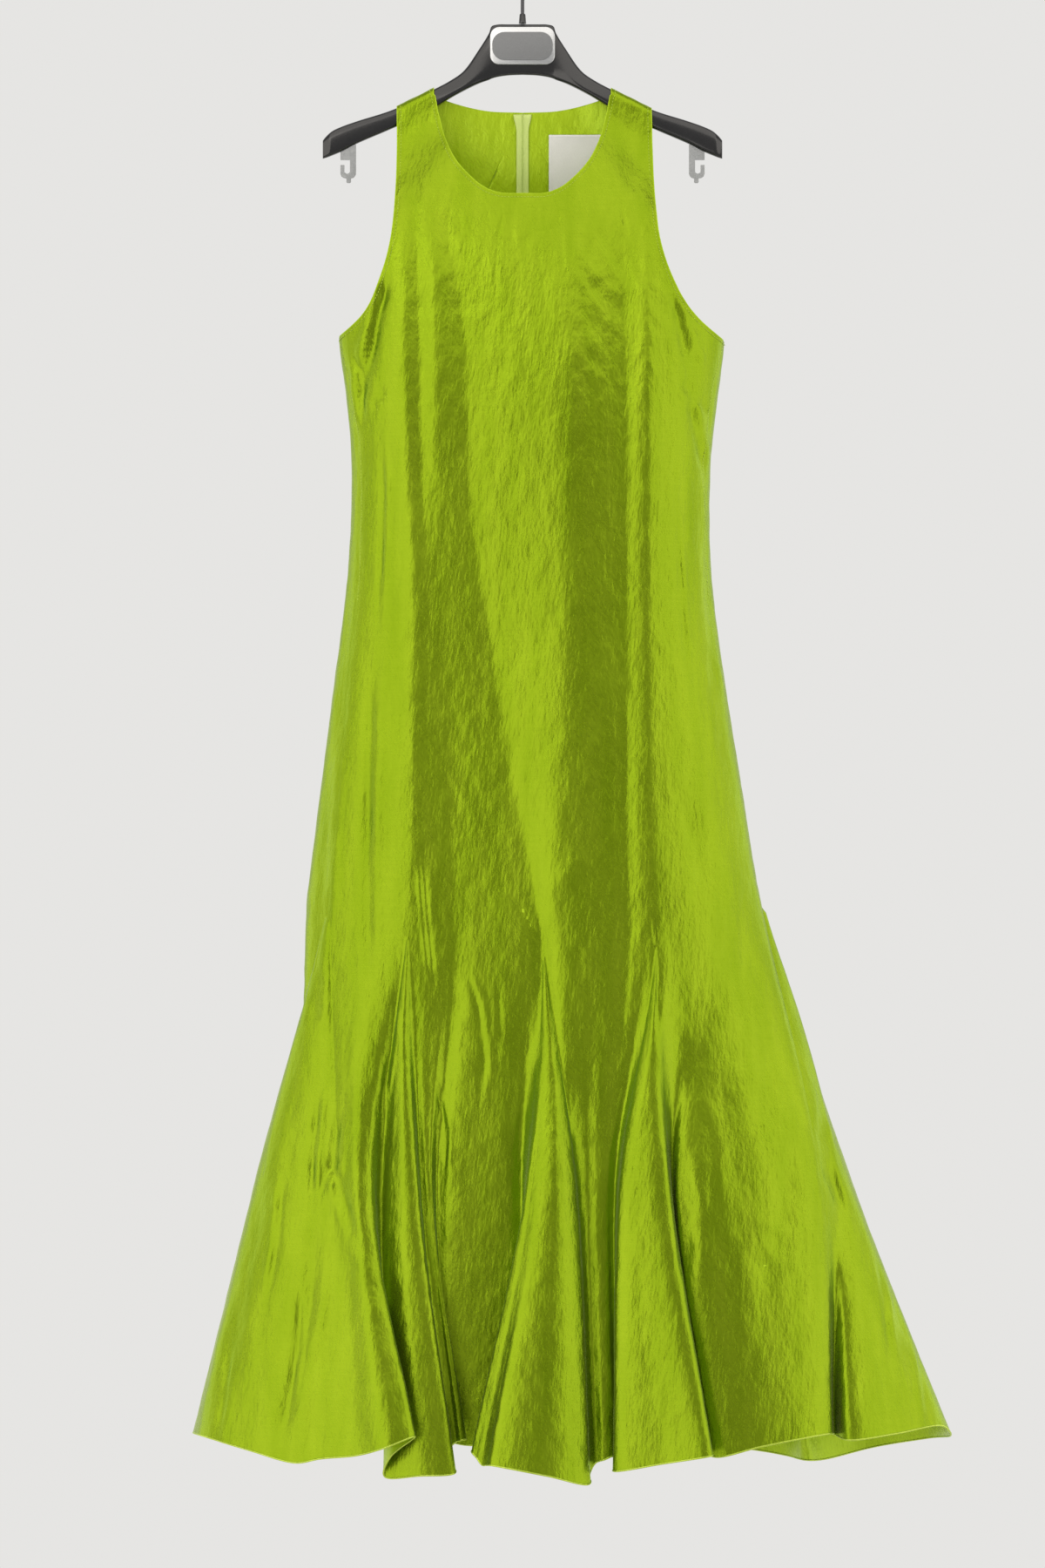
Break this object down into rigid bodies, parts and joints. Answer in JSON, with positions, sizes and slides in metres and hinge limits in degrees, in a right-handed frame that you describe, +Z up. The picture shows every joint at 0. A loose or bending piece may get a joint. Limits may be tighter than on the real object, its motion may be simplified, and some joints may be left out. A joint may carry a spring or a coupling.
{
  "type": "cocoon dress on a hanger",
  "caption": "Sleeveless round-neck maxi dress of lime crinkled taffeta with godet-flared hem, zipped at the back, hanging on a black moulded dress hanger.",
  "frame": {"origin": "inner top of the hanger's hook, where the hook rests on a rail", "axes": "+Z up, -Y out of the front of the dress, +X to the right in front view, along the hanger's arms"},
  "size_m": [0.7479, 0.3099, 1.5017],
  "materials": {
    "taffeta": "crinkled shot taffeta, satin sheen, lime",
    "zip_tape": "woven tape, pale lime",
    "zip_metal": "enamelled in the cloth's colour",
    "label_satin": "woven satin, silver white, bare",
    "black_plastic": "moulded black, half gloss",
    "badge_plate": "grey, bare",
    "badge_rim": "bright rim",
    "hook_metal": "dark nickel wire",
    "clip_plastic": "frosted clear plastic"
  },
  "bodies": {
    "dress": {"front": "taffeta", "back_left": "taffeta", "back_right": "taffeta", "godet_side_left": "taffeta", "godet_front_left": "taffeta", "godet_front_centre": "taffeta", "godet_front_right": "taffeta", "godet_side_right": "taffeta", "godet_back_right": "taffeta", "godet_back_centre": "taffeta", "godet_back_left": "taffeta", "zip_tape": "zip_tape", "zip_slider": "zip_metal", "neck_label": "label_satin", "hanger_body": "black_plastic", "hanger_badge_rim": "badge_rim", "hanger_badge_plate": "badge_plate", "hanger_hook": "hook_metal", "hanger_ferrule": "black_plastic", "hanger_clip_left": "clip_plastic", "hanger_clip_right": "clip_plastic"},
    "zip_pull": {"zip_pull": "zip_metal"}
  },
  "joints": [
    {"name": "zip_pull_hinge", "type": "hinge", "parent": "dress", "child": "zip_pull", "pos_m": [0, 0.02021, -0.16921], "axis": [1, 0, 0], "range_deg": [0, 150]}
  ]
}
